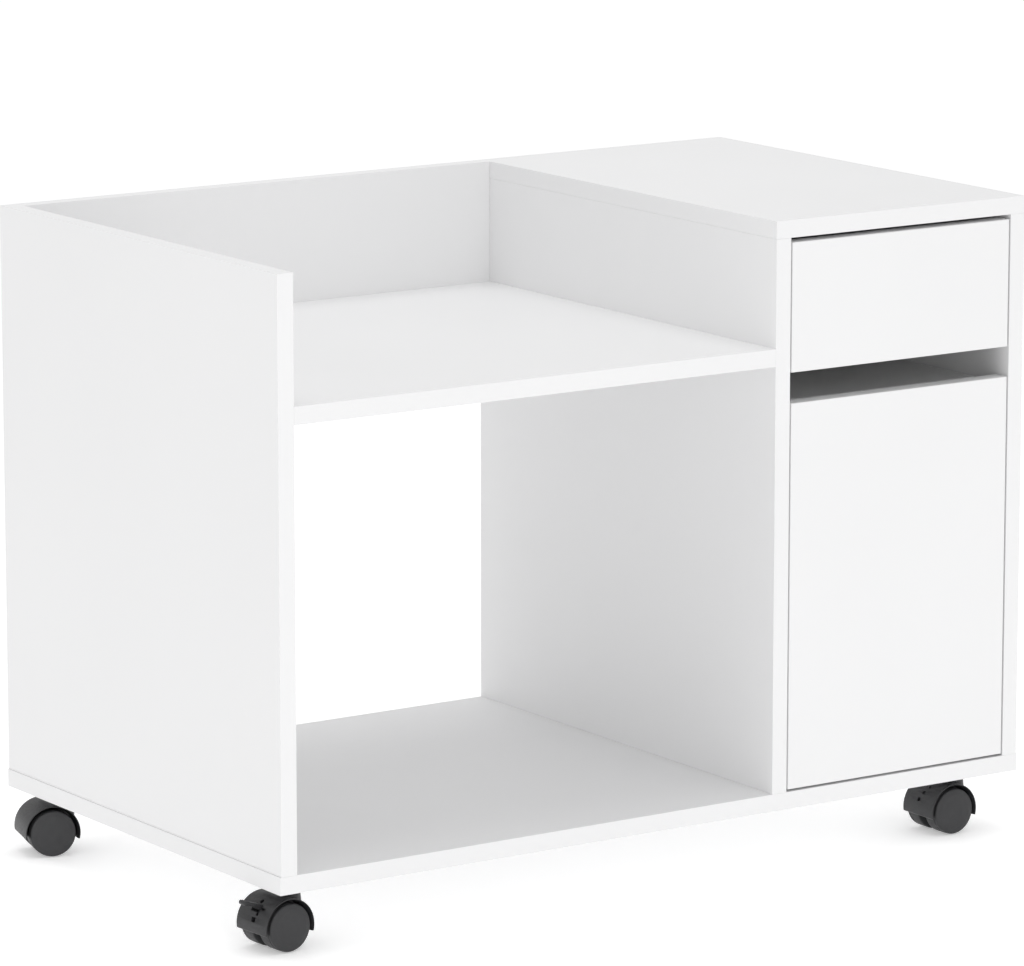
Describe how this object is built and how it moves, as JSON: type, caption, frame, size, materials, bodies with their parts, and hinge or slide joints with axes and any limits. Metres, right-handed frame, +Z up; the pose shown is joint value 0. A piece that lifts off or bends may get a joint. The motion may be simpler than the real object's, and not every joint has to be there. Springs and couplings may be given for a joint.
{
  "type": "mobile printer stand",
  "caption": "White mobile printer stand: an open bay with a printer shelf beside a cabinet with a drawer and a hinged door, on twin-wheel swivel casters.",
  "frame": {"origin": "on the floor, under the middle of the base panel", "axes": "+X to the right, towards the cabinet; -Y to the front, where the drawer and the door open; +Z up"},
  "size_m": [0.7714, 0.44, 0.555],
  "materials": {
    "melamine": "white melamine-faced particle board, satin, with matching edge band",
    "hardboard": "white-faced thin hardboard, fine texture",
    "coated_steel": "white epoxy-coated rolled steel, semi-gloss",
    "steel": "nickel-plated or zinc-plated steel, satin",
    "nylon": "natural white nylon, satin",
    "black_plastic": "black moulded nylon with a fine spark-eroded texture",
    "tread": "dark grey hard plastic wheel, satin"
  },
  "bodies": {
    "cabinet": {"bottom_panel": "melamine", "left_side_panel": "melamine", "divider_panel": "melamine", "right_side_panel": "melamine", "top_panel": "melamine", "printer_shelf": "melamine", "upper_back_panel": "melamine", "cabinet_back_panel": "hardboard", "middle_panel": "melamine", "runner_left_cabinet": "coated_steel", "runner_right_cabinet": "coated_steel", "hinge_lower_arm": "steel", "hinge_upper_arm": "steel", "hinge_lower_plate": "steel", "hinge_upper_plate": "steel", "catch_body": "black_plastic", "caster_fl_plate": "steel", "caster_fl_kingpin": "steel", "caster_fr_plate": "steel", "caster_fr_kingpin": "steel", "caster_rl_plate": "steel", "caster_rl_kingpin": "steel", "caster_rr_plate": "steel", "caster_rr_kingpin": "steel"},
    "drawer": {"drawer_front": "melamine", "drawer_side_left": "melamine", "drawer_side_right": "melamine", "drawer_back": "melamine", "drawer_bottom": "hardboard", "runner_left_drawer": "coated_steel", "runner_right_drawer": "coated_steel"},
    "door": {"door_panel": "melamine", "hinge_lower_cup": "steel", "hinge_upper_cup": "steel", "catch_strike_plate": "steel"},
    "roller_left_cabinet": {"roller_left_cabinet": "nylon"},
    "roller_left_drawer": {"roller_left_drawer": "nylon"},
    "roller_right_cabinet": {"roller_right_cabinet": "nylon"},
    "roller_right_drawer": {"roller_right_drawer": "nylon"},
    "caster_fl": {"caster_fl_hood": "black_plastic", "caster_fl_axle": "steel"},
    "wheel_fl_1": {"caster_fl_wheel_1": "tread"},
    "wheel_fl_2": {"caster_fl_wheel_2": "tread"},
    "brake_fl": {"caster_fl_brake_lever": "black_plastic"},
    "caster_fr": {"caster_fr_hood": "black_plastic", "caster_fr_axle": "steel"},
    "wheel_fr_1": {"caster_fr_wheel_1": "tread"},
    "wheel_fr_2": {"caster_fr_wheel_2": "tread"},
    "caster_rl": {"caster_rl_hood": "black_plastic", "caster_rl_axle": "steel"},
    "wheel_rl_1": {"caster_rl_wheel_1": "tread"},
    "wheel_rl_2": {"caster_rl_wheel_2": "tread"},
    "caster_rr": {"caster_rr_hood": "black_plastic", "caster_rr_axle": "steel"},
    "wheel_rr_1": {"caster_rr_wheel_1": "tread"},
    "wheel_rr_2": {"caster_rr_wheel_2": "tread"},
    "brake_rr": {"caster_rr_brake_lever": "black_plastic"}
  },
  "joints": [
    {"name": "drawer_slide", "type": "slide", "parent": "cabinet", "child": "drawer", "axis": [0, -1, 0], "range_m": [0, 0.25]},
    {"name": "door_hinge", "type": "hinge", "parent": "cabinet", "child": "door", "pos_m": [0.3575, -0.22, 0.068], "axis": [0, 0, 1], "range_deg": [0, 100]},
    {"name": "roller_left_cabinet_spin", "type": "hinge", "parent": "cabinet", "child": "roller_left_cabinet", "pos_m": [0.1321, -0.191, 0.45845], "axis": [1, 0, 0], "continuous": true},
    {"name": "roller_left_drawer_spin", "type": "hinge", "parent": "drawer", "child": "roller_left_drawer", "pos_m": [0.1344, 0.136, 0.45845], "axis": [1, 0, 0], "continuous": true},
    {"name": "roller_right_cabinet_spin", "type": "hinge", "parent": "cabinet", "child": "roller_right_cabinet", "pos_m": [0.3539, -0.191, 0.45845], "axis": [1, 0, 0], "continuous": true},
    {"name": "roller_right_drawer_spin", "type": "hinge", "parent": "drawer", "child": "roller_right_drawer", "pos_m": [0.3516, 0.136, 0.45845], "axis": [1, 0, 0], "continuous": true},
    {"name": "caster_fl_swivel", "type": "hinge", "parent": "cabinet", "child": "caster_fl", "pos_m": [-0.343, -0.182, 0.045], "axis": [0, 0, 1], "continuous": true},
    {"name": "wheel_fl_1_spin", "type": "hinge", "parent": "caster_fl", "child": "wheel_fl_1", "pos_m": [-0.35697, -0.18298, 0.02], "axis": [-0.0698, 0.9976, 0], "continuous": true},
    {"name": "wheel_fl_2_spin", "type": "hinge", "parent": "caster_fl", "child": "wheel_fl_2", "pos_m": [-0.35697, -0.18298, 0.02], "axis": [-0.0698, 0.9976, 0], "continuous": true},
    {"name": "brake_fl_tilt", "type": "hinge", "parent": "caster_fl", "child": "brake_fl", "pos_m": [-0.37313, -0.18411, 0.0356], "axis": [0.0698, -0.9976, 0], "range_deg": [0, 22]},
    {"name": "caster_fr_swivel", "type": "hinge", "parent": "cabinet", "child": "caster_fr", "pos_m": [0.335, -0.182, 0.045], "axis": [0, 0, 1], "continuous": true},
    {"name": "wheel_fr_1_spin", "type": "hinge", "parent": "caster_fr", "child": "wheel_fr_1", "pos_m": [0.321, -0.182, 0.02], "axis": [0, 1, 0], "continuous": true},
    {"name": "wheel_fr_2_spin", "type": "hinge", "parent": "caster_fr", "child": "wheel_fr_2", "pos_m": [0.321, -0.182, 0.02], "axis": [0, 1, 0], "continuous": true},
    {"name": "caster_rl_swivel", "type": "hinge", "parent": "cabinet", "child": "caster_rl", "pos_m": [-0.343, 0.182, 0.045], "axis": [0, 0, 1], "continuous": true},
    {"name": "wheel_rl_1_spin", "type": "hinge", "parent": "caster_rl", "child": "wheel_rl_1", "pos_m": [-0.35649, 0.18574, 0.02], "axis": [0.2672, 0.9636, 0], "continuous": true},
    {"name": "wheel_rl_2_spin", "type": "hinge", "parent": "caster_rl", "child": "wheel_rl_2", "pos_m": [-0.35649, 0.18574, 0.02], "axis": [0.2672, 0.9636, 0], "continuous": true},
    {"name": "caster_rr_swivel", "type": "hinge", "parent": "cabinet", "child": "caster_rr", "pos_m": [0.335, 0.182, 0.045], "axis": [0, 0, 1], "continuous": true},
    {"name": "wheel_rr_1_spin", "type": "hinge", "parent": "caster_rr", "child": "wheel_rr_1", "pos_m": [0.349, 0.182, 0.02], "axis": [0, -1, 0], "continuous": true},
    {"name": "wheel_rr_2_spin", "type": "hinge", "parent": "caster_rr", "child": "wheel_rr_2", "pos_m": [0.349, 0.182, 0.02], "axis": [0, -1, 0], "continuous": true},
    {"name": "brake_rr_tilt", "type": "hinge", "parent": "caster_rr", "child": "brake_rr", "pos_m": [0.3652, 0.182, 0.0356], "axis": [0, 1, 0], "range_deg": [0, 22]}
  ],
  "couplings": [
    {"joint": "roller_left_cabinet_spin", "follows": "drawer_slide", "rad_per_m": 143.88},
    {"joint": "roller_left_drawer_spin", "follows": "drawer_slide", "rad_per_m": 143.88},
    {"joint": "roller_right_cabinet_spin", "follows": "drawer_slide", "rad_per_m": 143.88},
    {"joint": "roller_right_drawer_spin", "follows": "drawer_slide", "rad_per_m": 143.88}
  ]
}
